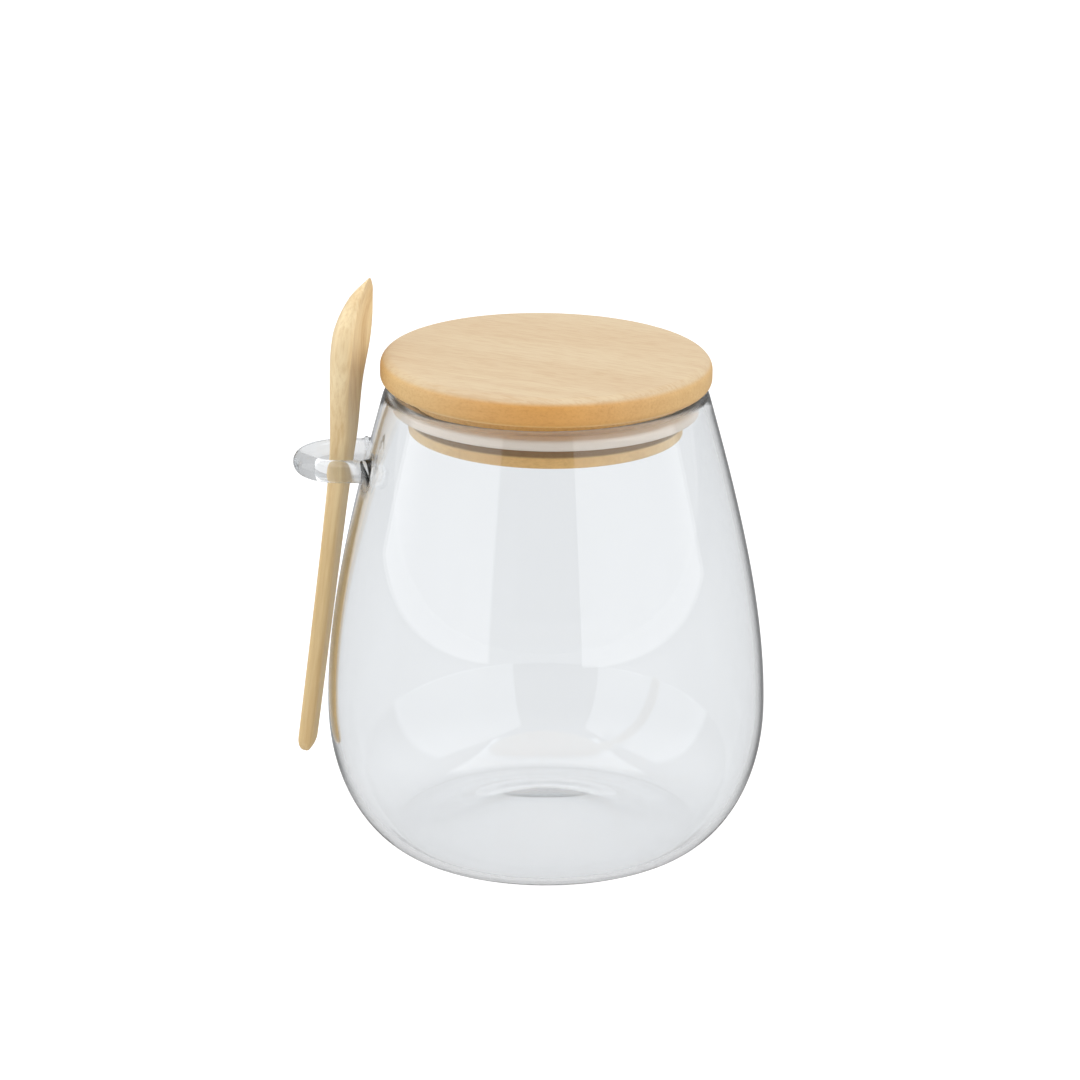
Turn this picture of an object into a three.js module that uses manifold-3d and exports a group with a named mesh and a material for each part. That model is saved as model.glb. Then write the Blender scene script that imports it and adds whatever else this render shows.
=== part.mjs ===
// A round-bellied glass storage jar with a bamboo lid, its silicone sealing ring,
// and a bamboo spoon that hangs in a glass loop fused to the jar's side.
// Millimetres, +Z up. The origin is on the standing surface, at the middle of the whole outline.
import * as THREE from 'three';
import { LoftGeometry } from 'three/addons/geometries/LoftGeometry.js';
import { mergeVertices } from 'three/addons/utils/BufferGeometryUtils.js';
import Module from 'manifold-3d';

const wasm = await Module();
wasm.setup();

// Jar
const bellyRadius = 55.1;
const bellyHeight = 35;
const rimRadius = 39.8;
const rimHeight = 117.3;
const neckFlare = 0.279; // how fast the neck widens downwards, mm for each mm
const footRadius = 37.6; // outer edge of the flat ring that the jar stands on
const footInner = 31;
const wall = 1.9;
const floorThickness = 2;
const rimRounding = 0.95;
const puntHeight = 7; // the base is pushed up in the middle by this much
const puntEdge = 0.72; // share of its radius where the push-up leaves the flat ring
const puntCrown = 0.3; // share of its radius where its top levels out
const floorInset = 0.5; // the floor inside starts this much nearer the axis

// Curve handles of the jar's side, above and below the belly
const neckHandle = 27.4;
const shoulderHandle = 25.7;
const hipHandle = 24.3;
const footHandle = 4;

// Loop of glass rod that holds the spoon
const loopHeight = 98;
const loopCentre = -50.8; // from the jar's axis
const loopReach = 9.25; // middle of the rod, along the jar's radius
const loopHalfWidth = 9.3; // middle of the rod, across the radius
const loopRoot = -42.9; // the legs end inside the wall here
const rodRadius = 2.85;
const rootRadius = 3.7; // the rod spreads where it was pressed onto the wall
const rootShare = 0.32; // over this share of each half of the rod

// Drop of pressed glass that runs down the wall below each root: a ball stretched along the wall
const dropDepth = 2.3;
const dropWidth = 3.2;
const dropLength = 6.8;
const dropX = -44.6;
const dropY = 7.9;
const dropLean = -0.23; // radians, along the slope of the wall

// Lid
const lidRadius = 41;
const lidThickness = 7.25;
const lidTopRounding = 3;
const lidBottomRounding = 2.2;
const lidSeat = 118.3; // underside of the lid on the jar's axis
const lidTilt = THREE.MathUtils.degToRad(0.9); // the lid sits a little lower on its +X side
const plugRadius = 34;
const plugDepth = 12;
const plugChamfer = 0.8;
const grooveRadius = 32.4;
const grooveTop = -3.6; // below the lid's underside
const grooveBottom = -6.8;

// Sealing ring in the plug's groove
const sealGap = 0.3;
const sealInner = 32.8;
const sealOuter = 37.95;
const sealCore = 36.2; // foot of the two lips
const sealValley = 36.7; // the bottom of the groove between the lips
const sealTop = grooveTop - sealGap;
const sealBottom = grooveBottom + sealGap;

// Spoon
const spoonLength = 125;
const spoonLean = THREE.MathUtils.degToRad(7.3); // its upper end leans towards the jar
const spoonTurn = THREE.MathUtils.degToRad(-11); // its hollow is turned a little to -Y
const spoonFoot = new THREE.Vector3(-60.95, -0.45, 21.2); // lowest point of the handle
const endRounding = 4;
const tipRounding = 4.6;
const sectionCorner = 0.45; // exponent of the section's outline: 1 is an ellipse, 0 a rectangle
const deepest = 2.8; // the back is fully round where the hollow is this deep
const hollowShare = 0.86; // share of the width that the hollow takes

// Distance along the spoon, its back and front surface, its width, and the depth of the hollow.
// Front is the side of the hollow, towards the jar.
const spoonStations = [
  [0, -1.95, 1.95, 7.5, 0],
  [40, -1.8, 2.25, 8.8, 0],
  [64, -1.8, 2.4, 10, 0],
  [78, -2.1, 2.6, 10.6, 0],
  [86, -2.65, 2.7, 12.6, 0.1],
  [97, -3.8, 2.1, 18, 1.2],
  [107, -4.85, 2.4, 23, 2.6],
  [113, -4.5, 2.3, 22.6, 2.8],
  [120, -2, 2.1, 15.6, 1.4],
  [125, 1.3, 2.3, 8, 0],
];

// How finely the curves are divided
const turnSteps = 56;
const outsideSteps = [11, 12]; // foot to belly, belly to rim
const insideSteps = [9, 11];
const middleSteps = [6, 12];
const puntSteps = 7;
const rodSteps = 24;
const rodSides = 12;
const spoonSides = 20;
const handleStep = 11; // between two sections of the spoon's handle
const bowlStart = 78;
const bowlStep = 3;

function material(color, roughness, options = {}) {
  return new THREE.MeshStandardMaterial({ color, roughness, metalness: 0, ...options });
}

function named(name, geometry, finish) {
  const mesh = new THREE.Mesh(geometry, finish);
  mesh.name = name;
  return mesh;
}

// A profile of (radius, height) points turned about the Z axis.
function turned(profile) {
  return new THREE.LatheGeometry(profile, turnSteps).rotateX(Math.PI / 2);
}

// Points of an arc in a profile, from one angle to another in degrees.
function arc(centreRadius, centreHeight, radius, from, to, steps) {
  return Array.from({ length: steps + 1 }, (_, i) => {
    const angle = THREE.MathUtils.degToRad(from + ((to - from) * i) / steps);
    return new THREE.Vector2(
      centreRadius + radius * Math.cos(angle),
      centreHeight + radius * Math.sin(angle),
    );
  });
}

// A closed mesh as a solid that can be joined and cut.
function solid(geometry) {
  const bare = new THREE.BufferGeometry();
  bare.setAttribute('position', geometry.getAttribute('position'));
  bare.setIndex(geometry.index);
  const merged = mergeVertices(bare, 1e-4);
  return new wasm.Manifold(
    new wasm.Mesh({
      numProp: 3,
      vertProperties: new Float32Array(merged.attributes.position.array),
      triVerts: new Uint32Array(merged.index.array),
    }),
  );
}

function geometryOf(body) {
  const mesh = body.getMesh();
  const geometry = new THREE.BufferGeometry();
  geometry.setAttribute('position', new THREE.BufferAttribute(mesh.vertProperties, 3));
  geometry.setIndex(new THREE.BufferAttribute(mesh.triVerts, 1));
  geometry.computeVertexNormals();
  return geometry;
}

// The jar's side as two curves that meet upright at the belly: foot to belly, belly to rim.
function sideCurves() {
  const at = (radius, height) => new THREE.Vector2(radius, height);
  const lower = new THREE.CubicBezierCurve(
    at(footRadius, 0),
    at(footRadius + footHandle, 0),
    at(bellyRadius, bellyHeight - hipHandle),
    at(bellyRadius, bellyHeight),
  );
  const upper = new THREE.CubicBezierCurve(
    at(bellyRadius, bellyHeight),
    at(bellyRadius, bellyHeight + shoulderHandle),
    at(rimRadius + neckFlare * neckHandle, rimHeight - neckHandle),
    at(rimRadius, rimHeight),
  );
  return [lower, upper];
}

// The side moved inwards by a share of the glass, which is thicker towards the foot.
function sideLine(share, [lowerSteps, upperSteps]) {
  const [lower, upper] = sideCurves();
  const moved = (curve, t, thickness) => {
    const point = curve.getPoint(t);
    const along = curve.getTangent(t);
    return new THREE.Vector2(
      point.x - along.y * thickness * share,
      point.y + along.x * thickness * share,
    );
  };
  const points = [];
  for (let i = 0; i < lowerSteps; i++) {
    const t = i / lowerSteps;
    points.push(moved(lower, t, THREE.MathUtils.lerp(floorThickness, wall, Math.sqrt(t))));
  }
  for (let i = 0; i <= upperSteps; i++) points.push(moved(upper, i / upperSteps, wall));
  return points;
}

// The push-up in the base, from its edge to the axis, raised by the glass above it.
function puntLine(edge, rise) {
  const curve = new THREE.CubicBezierCurve(
    new THREE.Vector2(edge, rise),
    new THREE.Vector2(edge * puntEdge, rise),
    new THREE.Vector2(edge * puntCrown, rise + puntHeight),
    new THREE.Vector2(0, rise + puntHeight),
  );
  return curve.getPoints(puntSteps);
}

function jarShell() {
  const outside = sideLine(0, outsideSteps);
  const inside = sideLine(1, insideSteps).reverse();
  const rimTop = outside.at(-1).clone().lerp(inside[0], 0.5);
  const rim = arc(rimTop.x, rimHeight - rimRounding, rimRounding, 20, 160, 4);
  outside.pop();
  inside.shift();
  const base = puntLine(footInner, 0).reverse();
  const floor = puntLine(footInner - floorInset, floorThickness);
  return turned([...base, ...outside, ...rim, ...inside, ...floor]);
}

// Middle line of the loop, seen from above: two legs off the wall joined by a half ellipse.
function loopLine() {
  const points = [new THREE.Vector3(loopRoot, -loopHalfWidth, loopHeight)];
  for (let degrees = -90; degrees <= 90; degrees += 30) {
    const turn = THREE.MathUtils.degToRad(degrees);
    const x = loopCentre - loopReach * Math.cos(turn);
    points.push(new THREE.Vector3(x, loopHalfWidth * Math.sin(turn), loopHeight));
  }
  points.push(new THREE.Vector3(loopRoot, loopHalfWidth, loopHeight));
  return new THREE.CatmullRomCurve3(points);
}

// A rod swept along the loop, with a round section that spreads at both roots.
function loopRod() {
  const line = loopLine();
  const sections = [];
  for (let i = 0; i <= rodSteps; i++) {
    const centre = line.getPointAt(i / rodSteps);
    const along = line.getTangentAt(i / rodSteps);
    const outwards = new THREE.Vector3(-along.y, along.x, 0);
    const fromMiddle = Math.abs((2 * i) / rodSteps - 1);
    const spread = Math.max(0, fromMiddle - 1 + rootShare) / rootShare;
    const radius = THREE.MathUtils.lerp(rodRadius, rootRadius, spread * spread);
    const ring = [];
    for (let j = 0; j < rodSides; j++) {
      const angle = (2 * Math.PI * j) / rodSides;
      const point = centre.clone().addScaledVector(outwards, radius * Math.cos(angle));
      point.z += radius * Math.sin(angle);
      ring.push(point);
    }
    sections.push(ring);
  }
  return new LoftGeometry(sections, { capStart: true, capEnd: true });
}

function rootDrop(side) {
  const drop = new THREE.SphereGeometry(1, 14, 10).scale(dropDepth, dropWidth, dropLength);
  drop.rotateY(dropLean);
  return drop.translate(dropX, dropY * side, loopHeight - dropLength / 2);
}

// The shell, with the loop cut off at the middle of the wall and joined to it.
function jarGlass() {
  const middle = sideLine(0.5, middleSteps);
  middle.unshift(new THREE.Vector2(0, middle[0].y));
  middle.push(new THREE.Vector2(0, middle.at(-1).y));
  const handle = solid(loopRod()).add(solid(rootDrop(-1))).add(solid(rootDrop(1)));
  const outsideWall = handle.subtract(solid(turned(middle)));
  return geometryOf(solid(jarShell()).add(outsideWall));
}

// Lid and plug in one turned piece, its heights measured from the lid's underside.
function lid() {
  const profile = [
    new THREE.Vector2(0, -plugDepth),
    new THREE.Vector2(plugRadius - plugChamfer, -plugDepth),
    new THREE.Vector2(plugRadius, plugChamfer - plugDepth),
    new THREE.Vector2(plugRadius, grooveBottom),
    new THREE.Vector2(grooveRadius, grooveBottom),
    new THREE.Vector2(grooveRadius, grooveTop),
    new THREE.Vector2(plugRadius, grooveTop),
    new THREE.Vector2(plugRadius, 0),
    ...arc(lidRadius - lidBottomRounding, lidBottomRounding, lidBottomRounding, -90, 0, 4),
    ...arc(lidRadius - lidTopRounding, lidThickness - lidTopRounding, lidTopRounding, 0, 90, 5),
    new THREE.Vector2(0, lidThickness),
  ];
  return turned(profile);
}

// A ring with two soft lips, closed on itself.
function seal() {
  const middle = (sealTop + sealBottom) / 2;
  const lip = (sealTop - sealBottom) / 4;
  const profile = [
    new THREE.Vector2(sealInner, sealBottom),
    new THREE.Vector2(sealCore, sealBottom),
    ...arc(sealOuter - lip, sealBottom + lip, lip, -60, 60, 3),
    new THREE.Vector2(sealValley, middle),
    ...arc(sealOuter - lip, sealTop - lip, lip, -60, 60, 3),
    new THREE.Vector2(sealCore, sealTop),
    new THREE.Vector2(sealInner, sealTop),
    new THREE.Vector2(sealInner, sealBottom),
  ];
  return turned(profile);
}

// A smooth line through one column of the spoon's stations.
function stationCurve(column) {
  const points = spoonStations.map((row) => new THREE.Vector2(row[0], row[column]));
  return (along) => {
    const last = points.length - 2;
    let i = points.findIndex((point) => point.x > along) - 1;
    if (i < 0) i = along <= 0 ? 0 : last;
    const [a, b] = [points[i], points[i + 1]];
    const slope = (p, q) => (q.y - p.y) / (q.x - p.x);
    const slopeA = i > 0 ? slope(points[i - 1], b) : slope(a, b);
    const slopeB = i < last ? slope(a, points[i + 2]) : slope(a, b);
    const span = b.x - a.x;
    const t = (along - a.x) / span;
    const keepA = (1 + 2 * t) * (1 - t) ** 2;
    const keepB = t * t * (3 - 2 * t);
    const bendA = t * (1 - t) ** 2 * span * slopeA;
    const bendB = t * t * (t - 1) * span * slopeB;
    return keepA * a.y + keepB * b.y + bendA + bendB;
  };
}

// One cross-section of the spoon: a soft-cornered bar whose front sinks into the hollow,
// and whose back turns round where the hollow is deep.
function spoonSection(along, shape, shrink) {
  const [back, front, width, hollow] = shape.map((curve) => curve(along));
  const middle = (back + front) / 2;
  const depth = ((front - back) / 2) * shrink;
  const half = (width / 2) * shrink;
  const backCorner = THREE.MathUtils.lerp(sectionCorner, 1, hollow / deepest);
  const ring = [];
  for (let j = 0; j < spoonSides; j++) {
    const angle = (2 * Math.PI * j) / spoonSides;
    const corner = Math.sin(angle) < 0 ? backCorner : sectionCorner;
    const across = Math.sign(Math.cos(angle)) * Math.abs(Math.cos(angle)) ** corner;
    const through = Math.sign(Math.sin(angle)) * Math.abs(Math.sin(angle)) ** corner;
    const inHollow = through > 0 ? Math.max(0, 1 - (across / hollowShare) ** 2) : 0;
    const sink = hollow * shrink * inHollow;
    ring.push(new THREE.Vector3(middle + depth * through - sink, -half * across, along));
  }
  return ring;
}

function spoon() {
  const shape = [1, 2, 3, 4].map(stationCurve);
  const sections = [];
  const add = (along, shrink) => sections.push(spoonSection(along, shape, shrink));
  for (let angle = 15; angle < 90; angle += 25) {
    const turn = THREE.MathUtils.degToRad(angle);
    add(endRounding * (1 - Math.cos(turn)), Math.sin(turn));
  }
  const bowlEnd = spoonLength - tipRounding - bowlStep / 2;
  for (let along = handleStep; along < bowlStart - bowlStep; along += handleStep) add(along, 1);
  for (let along = bowlStart; along < bowlEnd; along += bowlStep) add(along, 1);
  for (let angle = 90; angle > 10; angle -= 16) {
    const turn = THREE.MathUtils.degToRad(angle);
    add(spoonLength - tipRounding * (1 - Math.cos(turn)), Math.sin(turn));
  }
  return geometryOf(solid(new LoftGeometry(sections, { capStart: true, capEnd: true })));
}

const jar = new THREE.Group();

jar.add(
  named('jar_glass', jarGlass(), material(0xe9edee, 0.03, { transparent: true, opacity: 0.35 })),
);

const closure = new THREE.Group();
closure.position.z = lidSeat;
closure.rotation.y = lidTilt;
closure.add(named('lid', lid(), material(0xe2cba9, 0.55)));
closure.add(named('seal', seal(), material(0xd9d5d0, 0.4, { transparent: true, opacity: 0.7 })));
jar.add(closure);

const hangingSpoon = new THREE.Group();
hangingSpoon.position.copy(spoonFoot);
hangingSpoon.rotation.set(0, spoonLean, spoonTurn);
hangingSpoon.add(named('spoon', spoon(), material(0xd9ba86, 0.6)));
jar.add(hangingSpoon);

// The whole outline is centred on the origin along X.
const outline = new THREE.Box3().setFromObject(jar, true);
jar.position.x = -(outline.min.x + outline.max.x) / 2;

const part = new THREE.Group();
part.add(jar);

export default part;
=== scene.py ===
# Glass storage jar with a bamboo lid, a silicone seal and a bamboo spoon in a glass loop.
import math
import bmesh
import bpy
from mathutils import Matrix, Vector
from mathutils.geometry import interpolate_bezier


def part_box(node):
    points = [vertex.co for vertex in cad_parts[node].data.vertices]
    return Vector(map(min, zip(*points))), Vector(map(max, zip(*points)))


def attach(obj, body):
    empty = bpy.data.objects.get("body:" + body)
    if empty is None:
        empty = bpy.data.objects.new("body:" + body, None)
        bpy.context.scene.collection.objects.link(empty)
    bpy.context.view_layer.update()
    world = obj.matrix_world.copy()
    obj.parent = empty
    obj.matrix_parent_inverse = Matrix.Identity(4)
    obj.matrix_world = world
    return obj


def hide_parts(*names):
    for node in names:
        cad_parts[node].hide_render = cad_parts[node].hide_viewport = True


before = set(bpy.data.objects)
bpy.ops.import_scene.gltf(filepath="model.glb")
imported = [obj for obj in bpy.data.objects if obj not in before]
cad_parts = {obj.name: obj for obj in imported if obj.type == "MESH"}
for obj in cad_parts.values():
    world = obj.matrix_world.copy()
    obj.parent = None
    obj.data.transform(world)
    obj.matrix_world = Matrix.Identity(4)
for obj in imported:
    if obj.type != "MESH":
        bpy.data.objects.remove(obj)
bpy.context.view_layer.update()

scene = bpy.context.scene
mm = 0.001

jarLow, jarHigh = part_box("jar_glass")
lidLow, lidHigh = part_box("lid")
axisX = (jarHigh.x - jarHigh.y) / mm  # the jar's own axis, from the frame's origin
toFrame = Matrix.Translation((axisX * mm, 0, 0)) @ Matrix.Scale(mm, 4)
print("frame loaded, jar axis at x =", round(axisX, 2), "mm")


# Mesh helpers. Pieces are modelled in millimetres about the jar's axis, then put in the frame.

def curve2(start, startHandle, endHandle, end, count):
    # points (radius, height) on one Bezier stretch
    knots = [Vector((p[0], 0, p[1])) for p in (start, startHandle, endHandle, end)]
    return [(p.x, p.z) for p in interpolate_bezier(*knots, count)]


def arc2(centre, radius, fromDeg, toDeg, count):
    angles = [math.radians(fromDeg + (toDeg - fromDeg) * i / (count - 1)) for i in range(count)]
    return [(centre[0] + radius * math.cos(a), centre[1] + radius * math.sin(a)) for a in angles]


def turnedProfile(profile, steps, closed=False):
    # a profile of (radius, height) points spun once round the Z axis
    bm = bmesh.new()
    verts = [bm.verts.new((radius, 0, height)) for radius, height in profile]
    edges = [bm.edges.new(pair) for pair in zip(verts, verts[1:])]
    if closed:
        edges.append(bm.edges.new((verts[-1], verts[0])))
    bmesh.ops.spin(bm, geom=verts + edges, cent=(0, 0, 0), axis=(0, 0, 1), angle=math.tau,
                   steps=steps, use_merge=True)
    bmesh.ops.remove_doubles(bm, verts=bm.verts, dist=1e-4)
    bmesh.ops.recalc_face_normals(bm, faces=bm.faces)
    return bm


def loftedRing(sections):
    # a ring of vertices extruded from section to section, closed at both ends
    bm = bmesh.new()
    ring = list(bmesh.ops.create_circle(bm, segments=len(sections[0]), radius=1)["verts"])
    for vert, spot in zip(ring, sections[0]):
        vert.co = spot
    edges = list(bm.edges)
    bmesh.ops.contextual_create(bm, geom=edges)
    for section in sections[1:]:
        order = {vert: i for i, vert in enumerate(ring)}
        made = bmesh.ops.extrude_edge_only(bm, edges=edges)["geom"]
        for vert in [item for item in made if isinstance(item, bmesh.types.BMVert)]:
            for edge in vert.link_edges:
                other = edge.other_vert(vert)
                if other in order:
                    ring[order[other]] = vert
        for vert, spot in zip(ring, section):
            vert.co = spot
        known = set(ring)
        edges = [e for e in made if isinstance(e, bmesh.types.BMEdge) and set(e.verts) <= known]
    bmesh.ops.contextual_create(bm, geom=edges)
    bmesh.ops.recalc_face_normals(bm, faces=bm.faces)
    return bm


def finishedPiece(name, bm, place=toFrame, creaseDeg=None):
    bmesh.ops.transform(bm, matrix=place, verts=bm.verts)
    mesh = bpy.data.meshes.new(name)
    bm.to_mesh(mesh)
    bm.free()
    piece = bpy.data.objects.new(name, mesh)
    scene.collection.objects.link(piece)
    if creaseDeg is None:
        mesh.shade_smooth()
    else:
        mesh.set_sharp_from_angle(angle=math.radians(creaseDeg))
    return piece


def addModifier(piece, kind, **settings):
    modifier = piece.modifiers.new(kind.title(), kind)
    for key, value in settings.items():
        setattr(modifier, key, value)


def applyModifiers(piece):
    graph = bpy.context.evaluated_depsgraph_get()
    done = bpy.data.meshes.new_from_object(piece.evaluated_get(graph), depsgraph=graph)
    old = piece.data
    piece.modifiers.clear()
    piece.data = done
    done.name = piece.name
    bpy.data.meshes.remove(old)


def smooth(value, low, high):
    # 0 below low, 1 above high
    share = max(0, min(1, (value - low) / (high - low)))
    return share * share * (3 - 2 * share)


# Shader helpers. Arithmetic on a Wire adds Math nodes.

class Wire:
    def __init__(self, finish, socket):
        self.finish = finish
        self.socket = socket

    def maths(self, operation, first, second):
        return self.finish.node("ShaderNodeMath", {"operation": operation}, {0: first, 1: second})[0]

    def __add__(self, other):
        return self.maths("ADD", self, other)

    def __sub__(self, other):
        return self.maths("SUBTRACT", self, other)

    def __mul__(self, other):
        return self.maths("MULTIPLY", self, other)

    def __rsub__(self, other):
        return self.maths("SUBTRACT", other, self)

    __radd__ = __add__
    __rmul__ = __mul__


class Finish:
    def __init__(self, owner):
        # the owner is a material or the world
        owner.use_nodes = True
        self.owner = owner
        self.tree = owner.node_tree
        self.tree.nodes.clear()

    def node(self, kind, settings, sockets):
        # settings first, then the values or links of the sockets; returns the outputs
        made = self.tree.nodes.new(kind)
        for key, value in settings.items():
            setattr(made, key, value)
        for key, value in sockets.items():
            if isinstance(value, Wire):
                self.tree.links.new(value.socket, made.inputs[key])
            else:
                made.inputs[key].default_value = value
        return [Wire(self, socket) for socket in made.outputs if socket.enabled]

    def mix(self, factor, first, second):
        return self.node("ShaderNodeMix", {"data_type": "RGBA"},
                         {"Factor": factor, 6: first, 7: second})[0]

    def ramp(self, value, low, high):
        # 0 below low, 1 above high, smooth between
        return self.node("ShaderNodeMapRange", {"interpolation_type": "SMOOTHSTEP"},
                         {"Value": value, "From Min": low, "From Max": high})[0]

    def objectSpot(self):
        return self.node("ShaderNodeTexCoord", {}, {})[3]

    def split(self, vector):
        return self.node("ShaderNodeSeparateXYZ", {}, {0: vector})

    def grain(self, centre, turn, squeeze, scale, detail, roughness):
        # noise about a centre, turned so that X runs along the grain, then drawn out along it
        moved = self.node("ShaderNodeVectorMath", {"operation": "SUBTRACT"},
                          {0: self.objectSpot(), 1: centre})[0]
        turned = self.node("ShaderNodeVectorRotate", {"rotation_type": "EULER_XYZ"},
                           {"Vector": moved, "Rotation": turn})[0]
        drawnOut = self.node("ShaderNodeVectorMath", {"operation": "MULTIPLY"},
                             {0: turned, 1: (squeeze, 1, 1)})[0]
        return self.node("ShaderNodeTexNoise", {}, {"Vector": drawnOut, "Scale": scale,
                                                    "Detail": detail, "Roughness": roughness})[0]

    def bump(self, height, strength, distance):
        return self.node("ShaderNodeBump", {}, {"Strength": strength, "Distance": distance,
                                                "Height": height})[0]

    def surface(self, sockets, inside=None):
        ends = {"Surface": self.node("ShaderNodeBsdfPrincipled", {}, sockets)[0]}
        if inside:
            ends["Volume"] = inside
        self.node("ShaderNodeOutputMaterial", {}, ends)
        return self.owner


def newFinish(name):
    return Finish(bpy.data.materials.new(name))


def colour(red, green, blue):
    # sRGB 0-255 to the linear colour that a socket takes
    shares = [value / 255 for value in (red, green, blue)]
    return (*[s / 12.92 if s <= 0.04045 else ((s + 0.055) / 1.055) ** 2.4 for s in shares], 1)


def inMetres(pair):
    return [value * mm for value in pair]


def dress(piece, material, node):
    piece.data.materials.clear()
    piece.data.materials.append(material)
    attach(piece, "root")
    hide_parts(node)


# Glass jar

jarShape = {
    "bellyRadius": jarHigh.y / mm,
    "bellyHeight": 35,
    "rimRadius": 39.8,
    "rimHeight": jarHigh.z / mm,
    "neckFlare": 0.279,
    "neckHandle": 27.4,
    "shoulderHandle": 25.7,
    "hipHandle": 24.3,
    "footHandle": 4,
    "footRadius": 37.6,
    "footInner": 31,
    "wall": 1.9,
    "floor": 2,
    "rimRounding": 0.95,
    "puntHeight": 7,  # how far the base is pushed up
    "puntFlat": 0.72,  # the handles of its curve, as shares of its radius
    "puntTop": 0.3,
    "floorInset": 0.5,
    "sidePoints": 36,
    "rimPoints": 12,
    "puntPoints": 20,
    "turnSteps": 192,
}

loopShape = {
    "height": 98,
    "centre": -50.8,
    "reach": 9.25,
    "halfWidth": 9.3,
    "root": -42.6,
    "rod": 2.85,
    "flare": 0.4,  # thicker at its roots by this much
    "flareFrom": 44,
    "flareLength": 0.8,
    "legSteps": 7,
    "bendSteps": 32,
    "rodSides": 20,
    # the drops of glass below the roots, flat on the wall
    "dropX": -44.9,
    "dropThick": 1.5,
    "dropWide": 3.4,
    "dropLong": 6.8,
    "dropLean": 0.23,  # radians, with the wall and round it
    "dropSides": 20,
    "dropRings": 14,
    "voxel": 0.3,
    "meltFactor": 0.6,
    "meltRounds": 6,
}

glassLook = {
    "ior": 1.47,
    "tint": (0.975, 0.988, 1, 1),
    "paintedEdgeShade": (0.02, 0.023, 0.026, 1),  # painted shade: dark where the wall is seen edge on, standing in for the darker studio that the glass shows there
    "edgeFacing": (0.7, 0.88),
    "edgeFoot": (6, 24),  # the painted edge shade comes in between these heights
    "edgeNeck": (113, 116),  # and goes out between these
    "edgeHip": (26, 38),  # and weakens on the loop's side above these
    "edgeSide": (24, 40),  # this far from the axis
    "edgeLeft": 0.25,  # to this share
    "edgeBand": 0.25,  # within this distance of the outer wall
    "outlinePoints": 60,
    "workedSpot": (-44.6, 9.4, 96.5),  # where the loop was pressed on, to both sides
    "workedReach": (3.2, 6.5),
    "workedRim": (-2.4, -1),  # heights about the rim's top
    "workedRough": 0.3,
    "depthColour": (0, 0.05, 0.09, 1),  # what is left of the light in deep glass
    "density": 12,  # for each metre
}


def jarSide(share, count):
    # the side of the jar as (radius, height) points, moved into the glass by a share of its thickness
    s = jarShape
    belly = (s["bellyRadius"], s["bellyHeight"])
    lower = curve2((s["footRadius"], 0), (s["footRadius"] + s["footHandle"], 0),
                   (belly[0], belly[1] - s["hipHandle"]), belly, count)
    upper = curve2(belly, (belly[0], belly[1] + s["shoulderHandle"]),
                   (s["rimRadius"] + s["neckFlare"] * s["neckHandle"],
                    s["rimHeight"] - s["neckHandle"]),
                   (s["rimRadius"], s["rimHeight"]), count)
    line = lower + upper[1:]
    moved = []
    for i, (radius, height) in enumerate(line):
        before, after = line[max(i - 1, 0)], line[min(i + 1, len(line) - 1)]
        along = Vector((after[0] - before[0], after[1] - before[1])).normalized()
        if i == 0:
            along = Vector((1, 0))
        lift = math.sqrt(min(1, i / (count - 1)))
        thickness = (s["floor"] + (s["wall"] - s["floor"]) * lift) * share
        moved.append((radius - along.y * thickness, height + along.x * thickness))
    return moved


def wallRadius(line, height):
    for (r0, z0), (r1, z1) in zip(line, line[1:]):
        if z0 <= height <= z1:
            return r0 + (r1 - r0) * (height - z0) / (z1 - z0)
    return 0


def puntSide(edge, rise):
    s = jarShape
    top = rise + s["puntHeight"]
    return curve2((edge, rise), (edge * s["puntFlat"], rise), (edge * s["puntTop"], top), (0, top),
                  s["puntPoints"])


def glassShell():
    s = jarShape
    outside = jarSide(0, s["sidePoints"])[:-1]
    inside = jarSide(1, s["sidePoints"])[::-1][1:]
    rimCentre = (s["rimRadius"] - s["wall"] / 2, s["rimHeight"] - s["rimRounding"])
    rim = arc2(rimCentre, s["rimRounding"], 10, 170, s["rimPoints"])
    base = puntSide(s["footInner"], 0)[::-1]
    floor = puntSide(s["footInner"] - s["floorInset"], s["floor"])
    return turnedProfile(base + outside + rim + inside + floor, s["turnSteps"])


def loopLine():
    # middle line of the loop: a leg off the wall, half an ellipse, a leg back
    s = loopShape
    legX = [s["root"] + (s["centre"] - s["root"]) * i / s["legSteps"] for i in range(s["legSteps"])]
    turns = [math.radians(-90 + 180 * i / s["bendSteps"]) for i in range(s["bendSteps"] + 1)]
    line = [(x, -s["halfWidth"]) for x in legX]
    line += [(s["centre"] - s["reach"] * math.cos(t), s["halfWidth"] * math.sin(t)) for t in turns]
    line += [(x, s["halfWidth"]) for x in reversed(legX)]
    return [Vector((x, y, s["height"])) for x, y in line]


def loopRod():
    s = loopShape
    line = loopLine()
    sections = []
    for i, spot in enumerate(line):
        along = (line[min(i + 1, len(line) - 1)] - line[max(i - 1, 0)]).normalized()
        outwards = Vector((-along.y, along.x, 0))
        offWall = max(0, abs(spot.x) - s["flareFrom"])
        radius = s["rod"] + s["flare"] * math.exp(-offWall / s["flareLength"])
        turns = [math.tau * j / s["rodSides"] for j in range(s["rodSides"])]
        sections.append([spot + outwards * radius * math.cos(turn)
                         + Vector((0, 0, radius * math.sin(turn))) for turn in turns])
    return loftedRing(sections)


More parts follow.
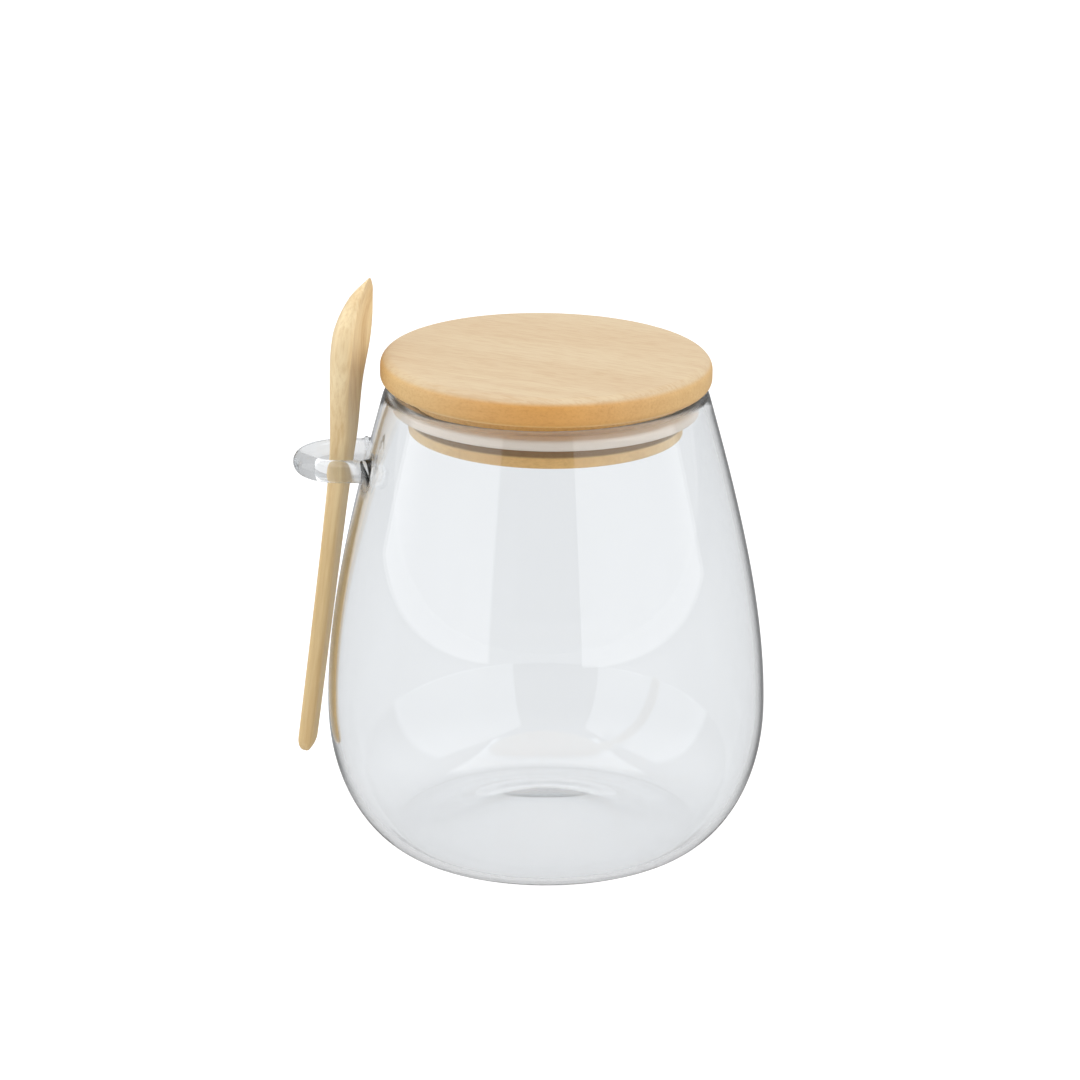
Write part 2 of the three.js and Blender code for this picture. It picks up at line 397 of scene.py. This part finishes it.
def fusedLoop():
    # rod and drops melted into one body, its roots kept inside the wall
    s = loopShape
    bm = loopRod()
    for side in (-1, 1):
        drop = bmesh.ops.create_uvsphere(bm, u_segments=s["dropSides"], v_segments=s["dropRings"],
                                         radius=1)["verts"]
        shape = (Matrix.Rotation(-s["dropLean"] * side, 4, "Z")
                 @ Matrix.Translation((s["dropX"], 0, s["height"] - s["dropLong"] / 2))
                 @ Matrix.Rotation(-s["dropLean"], 4, "Y")
                 @ Matrix.Diagonal((s["dropThick"], s["dropWide"], s["dropLong"], 1)))
        bmesh.ops.transform(bm, matrix=shape, verts=drop)
    loop = finishedPiece("glassLoop", bm, Matrix.Identity(4))
    addModifier(loop, "REMESH", mode="VOXEL", voxel_size=s["voxel"])
    addModifier(loop, "SMOOTH", factor=s["meltFactor"], iterations=s["meltRounds"])
    applyModifiers(loop)
    middle = jarSide(0.5, glassLook["outlinePoints"])
    for vert in loop.data.vertices:
        away = math.hypot(vert.co.x, vert.co.y)
        wallAt = wallRadius(middle, vert.co.z)
        if away < wallAt:
            vert.co.x *= wallAt / away
            vert.co.y *= wallAt / away
    loop.data.transform(toFrame)
    return loop


def paintWall(jar):
    # how far the glass gets painted shade where it is seen edge on: full on the outer wall, less
    # beside the loop, none on it; and how far it is clouded, at the loop's roots and along the rim
    s = glassLook
    outer = jarSide(0, s["outlinePoints"])
    for name in ("paintedEdgeShadeMask", "worked"):
        jar.data.attributes.new(name, "FLOAT", "POINT")
    edges, clouds = jar.data.attributes["paintedEdgeShadeMask"].data, jar.data.attributes["worked"].data
    for vert, edge, cloud in zip(jar.data.vertices, edges, clouds):
        x, y, height = vert.co.x / mm - axisX, vert.co.y / mm, vert.co.z / mm
        fromRoot = (Vector((x, abs(y), height)) - Vector(s["workedSpot"])).length
        cloud.value = max(1 - smooth(fromRoot, *s["workedReach"]),
                          smooth(height - jarShape["rimHeight"], *s["workedRim"]))
        onWall = abs(math.hypot(x, y) - wallRadius(outer, height)) < s["edgeBand"]
        besideLoop = smooth(-x, *s["edgeSide"]) * smooth(height, *s["edgeHip"])
        edge.value = (onWall * smooth(height, *s["edgeFoot"]) * (1 - smooth(height, *s["edgeNeck"]))
                      * (1 - besideLoop * (1 - s["edgeLeft"])))


def makeJar():
    jar = finishedPiece("glassJar", glassShell())
    loop = fusedLoop()
    addModifier(jar, "BOOLEAN", operation="UNION", solver="EXACT", object=loop)
    applyModifiers(jar)
    bpy.data.objects.remove(loop)
    jar.data.shade_smooth()
    paintWall(jar)
    jar.visible_shadow = False  # clear glass lets the studio's light through to the wood
    return jar


def glassFinish():
    s = glassLook
    finish = newFinish("clearGlass")
    deep = finish.node("ShaderNodeVolumeAbsorption", {},
                       {"Color": s["depthColour"], "Density": s["density"]})[0]
    facing = finish.node("ShaderNodeLayerWeight", {}, {"Blend": 0.5})[1]
    wall = finish.node("ShaderNodeAttribute", {"attribute_name": "paintedEdgeShadeMask"}, {})[2]
    worked = finish.node("ShaderNodeAttribute", {"attribute_name": "worked"}, {})[2]
    # painted shade: the glass's colour turns dark where the outer wall is seen edge on
    edge = wall * finish.ramp(facing, *s["edgeFacing"])
    return finish.surface({"Base Color": finish.mix(edge, s["tint"], s["paintedEdgeShade"]),
                           "Roughness": worked * s["workedRough"], "IOR": s["ior"],
                           "Transmission Weight": 1.0}, deep)


# Lid with its plug, about the underside of the lid

lidShape = {
    "radius": 41,
    "thickness": 7.25,
    "topRounding": 3,
    "bottomRounding": 2.2,
    "seat": 118.3,
    "tiltDeg": 0.9,
    "plugRadius": 34,
    "plugDepth": 12,
    "chamfer": 0.8,
    "edgeRounding": 0.25,  # every edge of the plug is a little broken
    "grooveRadius": 32.4,
    "grooveTop": -3.6,
    "grooveBottom": -6.8,
    "topPoints": 12,
    "bottomPoints": 10,
    "chamferPoints": 6,
    "edgePoints": 4,
    "creaseDeg": 50,
    "turnSteps": 160,
}

lidLook = {
    "grainDeg": 24,
    # painted light and sheen: the top is paler than the side, as the lamp above lights it
    "top": colour(222, 200, 164),
    "side": colour(224, 166, 90),
    # painted sheen: the side and the plug are paler towards both ends
    "sideEndsPaintedSheen": colour(226, 190, 132),
    # painted light: the plug takes a brighter copy of the side's bamboo, against the shade inside the
    # jar and under the lid
    "plug": colour(250, 202, 126),
    "plugEnds": colour(252, 228, 182),
    "dark": colour(182, 122, 56),
    # painted shadow under the seal: this colour darkens a band of the plug
    "line": colour(92, 58, 30),
    # in mm above the lid's underside, from and to
    "plugToSide": (0.2, 1),
    "sideToTop": (5.4, 6.6),
    "sealShadowFoot": (-9.5, -8.8),
    "sealShadowTop": (-6.8, -6.6),
    "sealShadowShare": 0.75,
    # in mm across, from and to
    "leftEnd": (-36, 3),
    "rightEnd": (5, 44),
    # squeeze along the grain, scale, detail, roughness
    "fibres": (0.12, 1500, 3, 0.6),
    "flecks": (0.5, 2200, 3, 0.6),
    "bands": (0.08, 160, 2, 0.5),
    "fibreShare": 0.1,
    "topFibreShare": 0.08,  # added on the top
    "fleckShare": 0.2,
    "bandShare": 0.14,
    "roughness": 0.5,
    "bump": (0.2, 0.0002),  # strength and distance
}

lidPlace = (toFrame @ Matrix.Translation((0, 0, lidShape["seat"]))
            @ Matrix.Rotation(math.radians(lidShape["tiltDeg"]), 4, "Y"))


def makeLid():
    s = lidShape
    soft, foot = s["edgeRounding"], -s["plugDepth"]
    side = [(0, foot), (s["plugRadius"] / 2, foot)]
    side += arc2((s["plugRadius"] - s["chamfer"], foot + s["chamfer"]), s["chamfer"], -90, 0,
                 s["chamferPoints"])
    side += arc2((s["plugRadius"] - soft, s["grooveBottom"] - soft), soft, 0, 90, s["edgePoints"])
    side += [(s["grooveRadius"], s["grooveBottom"]), (s["grooveRadius"], s["grooveTop"])]
    side += arc2((s["plugRadius"] - soft, s["grooveTop"] + soft), soft, -90, 0, s["edgePoints"])
    side += [(s["plugRadius"], -soft), (s["plugRadius"] + soft, 0)]
    side += arc2((s["radius"] - s["bottomRounding"], s["bottomRounding"]), s["bottomRounding"],
                 -90, 0, s["bottomPoints"])
    side += arc2((s["radius"] - s["topRounding"], s["thickness"] - s["topRounding"]),
                 s["topRounding"], 0, 90, s["topPoints"])
    side += [(s["radius"] * share, s["thickness"]) for share in (0.75, 0.5, 0.25, 0)]
    return finishedPiece("bambooLid", turnedProfile(side, s["turnSteps"]), lidPlace, s["creaseDeg"])


def lidFinish():
    s = lidLook
    finish = newFinish("lidBamboo")
    across, _, height = finish.split(finish.objectSpot())
    # height above the lid's own underside, which is a little tilted
    level = (height + (across - axisX * mm) * math.tan(math.radians(lidShape["tiltDeg"]))
             - lidShape["seat"] * mm)
    onTop = finish.ramp(level, *inMetres(s["sideToTop"]))
    onLid = finish.ramp(level, *inMetres(s["plugToSide"]))
    # painted sheen: paler towards both ends than at the front, where the soft boxes' light falls on
    # the side and the plug
    ends = (finish.ramp(across, *inMetres(s["rightEnd"]))
            + (1 - finish.ramp(across, *inMetres(s["leftEnd"]))))
    side = finish.mix(ends, s["side"], s["sideEndsPaintedSheen"])
    plug = finish.mix(ends, s["plug"], s["plugEnds"])
    # painted light: the brighter plug colour reaches up over the lid's underside, and the top is
    # painted paler than the side
    base = finish.mix(onTop, finish.mix(onLid, plug, side), s["top"])
    # fine fibres, run out into streaks on the top, and cut through into flecks on the sides
    grainFrame = ((lidHigh + lidLow) / 2, (0, 0, math.radians(s["grainDeg"])))
    fibres, flecks, bands = [finish.grain(*grainFrame, *s[name])
                             for name in ("fibres", "flecks", "bands")]
    grain = (finish.ramp(fibres, 0.42, 0.66) * (s["topFibreShare"] * onTop + s["fibreShare"])
             + finish.ramp(flecks, 0.44, 0.7) * (s["fleckShare"] * (1 - onTop))
             + finish.ramp(bands, 0.3, 0.7) * s["bandShare"])
    # painted shadow: a dark band on the plug just below the seal, where the seal shades it
    line = (finish.ramp(level, *inMetres(s["sealShadowFoot"]))
            * (1 - finish.ramp(level, *inMetres(s["sealShadowTop"]))) * s["sealShadowShare"])
    return finish.surface({"Base Color": finish.mix(line, finish.mix(grain, base, s["dark"]),
                                                    s["line"]),
                           "Roughness": s["roughness"], "Normal": finish.bump(fibres, *s["bump"])})


# Seal in the plug's groove

sealShape = {
    "inner": 32.8,
    "innerRounding": 0.3,
    "innerPoints": 4,
    "outer": 37.95,
    "outerRounding": 0.9,
    "outerPoints": 8,
    "gap": 0.3,
    "turnSteps": 160,
}

sealLook = {
    "colour": colour(240, 228, 214),
    "roughness": 0.35,
    "subsurface": 0.4,
    "subsurfaceRadius": (0.004, 0.004, 0.004),
}


def makeSeal():
    s = sealShape
    top = lidShape["grooveTop"] - s["gap"]
    bottom = lidShape["grooveBottom"] + s["gap"]
    soft, lip = s["innerRounding"], s["outerRounding"]
    side = arc2((s["inner"] + soft, bottom + soft), soft, 180, 270, s["innerPoints"])
    side += arc2((s["outer"] - lip, bottom + lip), lip, -90, 0, s["outerPoints"])
    side += arc2((s["outer"] - lip, top - lip), lip, 0, 90, s["outerPoints"])
    side += arc2((s["inner"] + soft, top - soft), soft, 90, 180, s["innerPoints"])
    return finishedPiece("siliconeSeal", turnedProfile(side, s["turnSteps"], closed=True), lidPlace)


def sealFinish():
    s = sealLook
    return newFinish("milkySilicone").surface({"Base Color": s["colour"], "Roughness": s["roughness"],
                                               "Subsurface Weight": s["subsurface"],
                                               "Subsurface Radius": s["subsurfaceRadius"]})


# Spoon

spoonShape = {
    "length": 125,
    "leanDeg": 7.3,
    "turnDeg": -11,
    "foot": (-60.95, -0.45, 21.2),
    "corner": 0.45,  # 1 is an ellipse, 0 a rectangle
    "deepest": 2.8,
    "hollowShare": 0.86,
    "footRounding": 4,
    "tipRounding": 4.6,
    "endDegrees": range(6, 90, 7),  # sections of the rounded ends
    "ringSides": 72,
    "step": 1,
    # distance along, back, front, width, depth of the hollow
    "stations": [
        (0, -1.95, 1.95, 7.5, 0),
        (40, -1.8, 2.25, 8.8, 0),
        (64, -1.8, 2.4, 10, 0),
        (78, -2.1, 2.6, 10.6, 0),
        (86, -2.65, 2.7, 12.6, 0.1),
        (97, -3.8, 2.1, 18, 1.2),
        (107, -4.85, 2.4, 23, 2.6),
        (113, -4.5, 2.3, 22.6, 2.8),
        (120, -2, 2.1, 15.6, 1.4),
        (125, 1.3, 2.3, 8, 0),
    ],
}

spoonLook = {
    "handle": colour(232, 204, 152),
    "bowl": colour(252, 230, 186),
    "handleToBowl": (70, 130),  # heights
    "dark": colour(214, 176, 118),
    # squeeze along the grain, scale, detail, roughness
    "fibres": (0.06, 1400, 3, 0.6),
    "bands": (0.06, 260, 2, 0.5),
    "fibreShare": 0.35,
    "bandShare": 0.4,
    "roughness": 0.45,
    "bump": (0.2, 0.0002),  # strength and distance
}

spoonPlace = (toFrame @ Matrix.Translation(spoonShape["foot"])
              @ Matrix.Rotation(math.radians(spoonShape["leanDeg"]), 4, "Y")
              @ Matrix.Rotation(math.radians(spoonShape["turnDeg"]), 4, "Z"))


def stationValue(column, along):
    # smooth line through one column of the stations
    rows = [(row[0], row[column]) for row in spoonShape["stations"]]
    i = max(0, min(len(rows) - 2, sum(row[0] <= along for row in rows) - 1))

    def slope(a, b):
        return (b[1] - a[1]) / (b[0] - a[0])

    a, b = rows[i], rows[i + 1]
    slopeA = slope(rows[i - 1], b) if i > 0 else slope(a, b)
    slopeB = slope(a, rows[i + 2]) if i < len(rows) - 2 else slope(a, b)
    span = b[0] - a[0]
    t = (along - a[0]) / span
    return ((1 + 2 * t) * (1 - t) ** 2 * a[1] + t * t * (3 - 2 * t) * b[1]
            + t * (1 - t) ** 2 * span * slopeA + t * t * (t - 1) * span * slopeB)


def spoonSection(along, shrink):
    s = spoonShape
    back, front, width, hollow = [stationValue(column, along) for column in (1, 2, 3, 4)]
    middle, depth, half = (back + front) / 2, (front - back) / 2 * shrink, width / 2 * shrink
    backCorner = s["corner"] + (1 - s["corner"]) * min(1, hollow / s["deepest"])
    ring = []
    for j in range(s["ringSides"]):
        angle = math.tau * j / s["ringSides"]
        corner = backCorner if math.sin(angle) < 0 else s["corner"]
        across = math.copysign(abs(math.cos(angle)) ** corner, math.cos(angle))
        through = math.copysign(abs(math.sin(angle)) ** corner, math.sin(angle))
        sink = hollow * shrink * max(0, 1 - (across / s["hollowShare"]) ** 2) if through > 0 else 0
        ring.append(Vector((middle + depth * through - sink, -half * across, along)))
    return ring


def makeSpoon():
    s = spoonShape
    turns = [math.radians(degrees) for degrees in s["endDegrees"]]
    straight = s["length"] - s["footRounding"] - s["tipRounding"]
    steps = round(straight / s["step"])
    sections = [spoonSection(s["footRounding"] * (1 - math.cos(turn)), math.sin(turn))
                for turn in turns]
    sections += [spoonSection(s["footRounding"] + straight * i / steps, 1)
                 for i in range(steps + 1)]
    sections += [spoonSection(s["length"] - s["tipRounding"] * (1 - math.cos(turn)), math.sin(turn))
                 for turn in reversed(turns)]
    return finishedPiece("bambooSpoon", loftedRing(sections), spoonPlace)


def spoonFinish():
    s = spoonLook
    finish = newFinish("spoonBamboo")
    grainFrame = ((0, 0, 0), (0, math.radians(90 - spoonShape["leanDeg"]), 0))
    fibres, bands = [finish.grain(*grainFrame, *s[name]) for name in ("fibres", "bands")]
    tone = (finish.ramp(fibres, 0.35, 0.7) * s["fibreShare"]
            + finish.ramp(bands, 0.3, 0.75) * s["bandShare"])
    height = finish.split(finish.objectSpot())[2]
    light = finish.mix(finish.ramp(height, *inMetres(s["handleToBowl"])), s["handle"], s["bowl"])
    return finish.surface({"Base Color": finish.mix(tone, light, s["dark"]),
                           "Roughness": s["roughness"], "Normal": finish.bump(fibres, *s["bump"])})


dress(makeJar(), glassFinish(), "jar_glass")
print("glass jar made")
dress(makeLid(), lidFinish(), "lid")
dress(makeSeal(), sealFinish(), "seal")
print("lid and seal made")
dress(makeSpoon(), spoonFinish(), "spoon")
print("spoon made")


# Studio, in metres

studio = {
    "floorRadius": 6.0,
    "floorSides": 96,
    "floorDrop": 0.0001,  # clear of the flat foot of the glass
    "floorColour": (0.3, 0.3, 0.3, 1),
    "floorRoughness": 0.9,
    "floorSeen": 0.9,
    "floorGlow": 0.56,
    "floorMirrored": 0.0,
    "underJarPaintedLight": 0.1,  # painted light: a pool of light on the floor below the jar, seen through its base, against the shade there
    "underEdge": (0.045, 0.09),
    "worldColour": (0.8, 0.8, 0.8, 1),
    "worldSeen": 1.0,
    "worldFront": 0.35,  # on the camera's side of the studio
    "worldBack": 0.85,
    "worldTurn": (-0.2, 0.3),  # from one to the other, along Y
    # upright soft boxes: name, from and to in degrees round the jar (0 towards the photo's camera,
    # positive to its right), distance, lowest and highest edge, radiance
    "softBoxes": [
        ("leftBox", -106, -30, 0.9, 0.01, 1.2, 1.0),
        ("rightBox", 18.5, 98, 0.9, 0.01, 1.2, 1.0),
    ],
    "overhead": {"height": 1.5, "side": 1.6, "radiance": 1.5},
    "bounces": 32,  # light runs far inside the thick glass of the loop's roots and the rim
    "glossyBounces": 12,
}

cameraView = {
    "distance": 1.0,
    "elevationDeg": 18.41,
    "targetHeight": 0.0772,
    "aside": -0.0015,
    "lens": 133.27,
    "sensor": 36,
    "clipEnd": 50,
}


def floorFinish():
    # white to the camera, dimmer to what shows through the glass, and dim in its reflections
    s = studio
    finish = newFinish("paleFloor")
    toCamera, _, diffused, _, _, mirrored, through = finish.node("ShaderNodeLightPath", {}, {})[:7]
    away = finish.node("ShaderNodeVectorMath", {"operation": "DISTANCE"},
                       {0: finish.objectSpot(), 1: (axisX * mm, 0, 0)})[0]
    # painted light: a brighter pool on the floor below the jar, only for rays that come through the
    # glass
    paintedPool = (1 - finish.ramp(away, *s["underEdge"])) * s["underJarPaintedLight"]
    glow = (paintedPool * through + toCamera * (s["floorSeen"] - s["floorGlow"])
            + mirrored * (1 - diffused) * (s["floorMirrored"] - s["floorGlow"]) + s["floorGlow"])
    return finish.surface({"Base Color": s["floorColour"], "Roughness": s["floorRoughness"],
                           "Emission Color": glow, "Emission Strength": 1.0})


def makeFloor():
    bm = bmesh.new()
    bmesh.ops.create_circle(bm, cap_ends=True, segments=studio["floorSides"],
                            radius=studio["floorRadius"])
    floor = finishedPiece("studioFloor", bm, Matrix.Translation((0, 0, -studio["floorDrop"])))
    floor.data.materials.append(floorFinish())


def panelLight(name, width, tall, radiance, place):
    lamp = bpy.data.lights.new(name, "AREA")
    lamp.shape = "RECTANGLE"
    lamp.size, lamp.size_y = width, tall
    lamp.energy = radiance * math.pi * width * tall
    panel = bpy.data.objects.new(name, lamp)
    panel.matrix_world = place
    panel.visible_camera = False
    scene.collection.objects.link(panel)


def makeLights():
    centre = Matrix.Translation((axisX * mm, 0, 0))
    for name, fromDeg, toDeg, distance, bottom, top, radiance in studio["softBoxes"]:
        half = math.radians(toDeg - fromDeg) / 2
        middle = math.radians(toDeg + fromDeg) / 2
        place = (centre @ Matrix.Rotation(middle, 4, "Z")
                 @ Matrix.Translation((0, -distance, (bottom + top) / 2))
                 @ Matrix.Rotation(math.pi / 2, 4, "X"))
        panelLight(name, 2 * distance * math.tan(half), top - bottom, radiance, place)
    over = studio["overhead"]
    panelLight("overhead", over["side"], over["side"], over["radiance"],
               centre @ Matrix.Translation((0, 0, over["height"])))


def makeWorld():
    # white behind the object, dim on the camera's side, plain white where the camera looks past
    s = studio
    scene.world = bpy.data.worlds.new("studioWorld")
    finish = Finish(scene.world)
    direction = finish.node("ShaderNodeTexCoord", {}, {})[0]
    behind = finish.ramp(finish.split(direction)[1], *s["worldTurn"])
    strength = behind * (s["worldBack"] - s["worldFront"]) + s["worldFront"]
    light, seen = [finish.node("ShaderNodeBackground", {}, {"Color": s["worldColour"],
                                                            "Strength": value})[0]
                   for value in (strength, s["worldSeen"])]
    toCamera = finish.node("ShaderNodeLightPath", {}, {})[0]
    mixed = finish.node("ShaderNodeMixShader", {}, {0: toCamera, 1: light, 2: seen})[0]
    finish.node("ShaderNodeOutputWorld", {}, {"Surface": mixed})


def makeCamera():
    s = cameraView
    tilt = math.radians(s["elevationDeg"])
    data = bpy.data.cameras.new("photoCamera")
    data.lens = s["lens"]
    data.sensor_width = s["sensor"]
    data.clip_end = s["clipEnd"]
    camera = bpy.data.objects.new("photoCamera", data)
    camera.location = (axisX * mm + s["aside"], -s["distance"] * math.cos(tilt),
                       s["targetHeight"] + s["distance"] * math.sin(tilt))
    camera.rotation_euler = (math.pi / 2 - tilt, 0, 0)
    scene.collection.objects.link(camera)
    scene.camera = camera


makeFloor()
makeLights()
makeWorld()
makeCamera()
scene.view_settings.view_transform = "Standard"
scene.cycles.max_bounces = studio["bounces"]
scene.cycles.transmission_bounces = studio["bounces"]
scene.cycles.glossy_bounces = studio["glossyBounces"]
print("studio ready")
